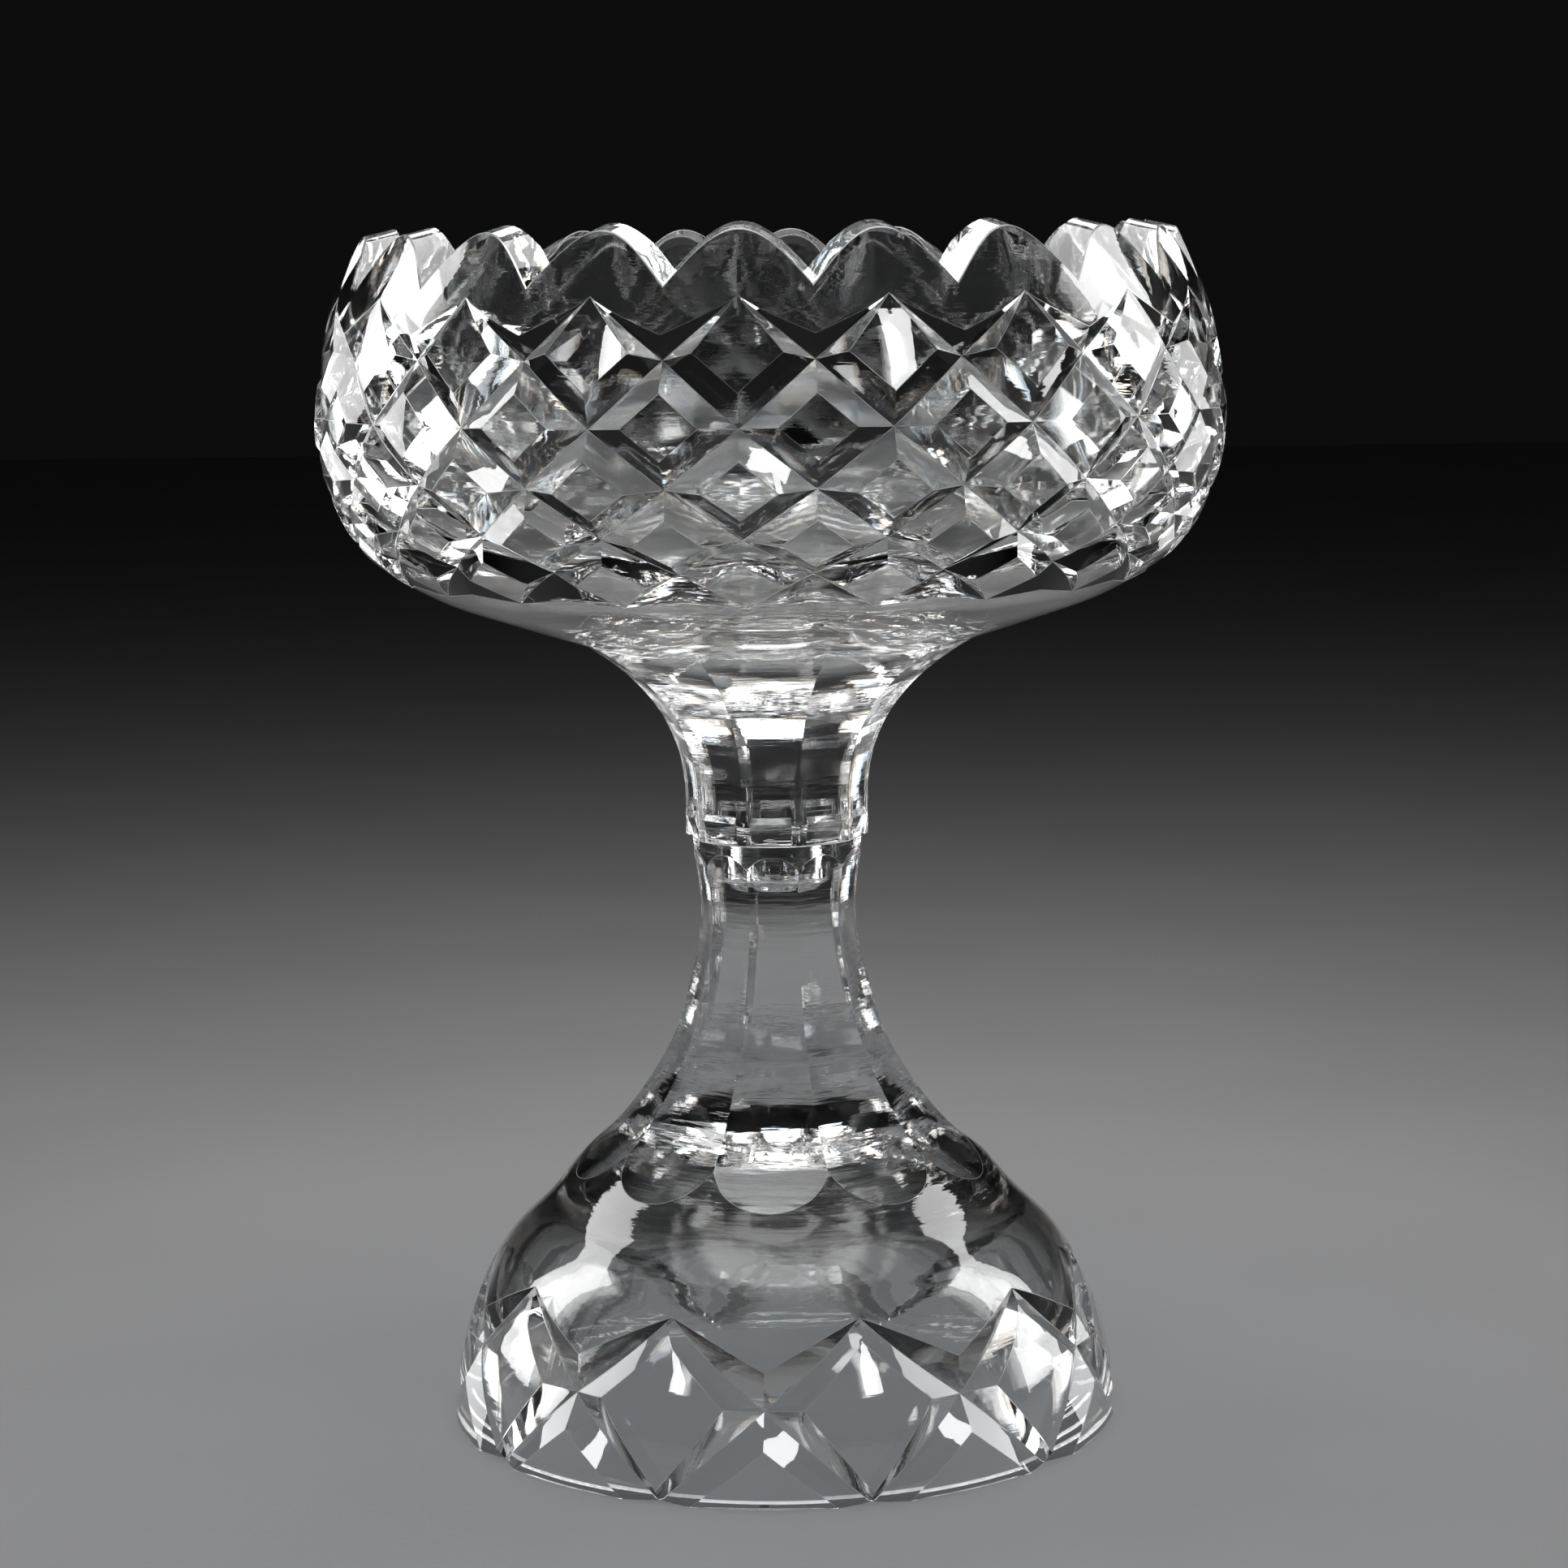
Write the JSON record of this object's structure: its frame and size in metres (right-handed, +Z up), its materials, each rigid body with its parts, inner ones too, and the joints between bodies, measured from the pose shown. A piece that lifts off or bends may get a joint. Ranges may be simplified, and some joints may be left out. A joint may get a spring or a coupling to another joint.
{
  "type": "punch bowl",
  "caption": "Deep cut-crystal bowl with a scalloped rim and diamond cutting, on a lift-off fluted stand with a hollow bell foot.",
  "frame": {"origin": "on the floor, in the middle of the foot's ground ring", "axes": "+Z up along the axis of the bowl and the stand; -Y is the front, with a scallop's peak and a flute's middle on it"},
  "size_m": [0.2794, 0.2794, 0.3731],
  "materials": {
    "lead_crystal": "clear, cut and polished"
  },
  "bodies": {
    "stand": {"stand": "lead_crystal"},
    "bowl": {"bowl": "lead_crystal"}
  },
  "joints": [
    {"name": "bowl_lift", "type": "slide", "parent": "stand", "child": "bowl", "axis": [0, 0, 1], "range_m": [0, 0.08]}
  ]
}
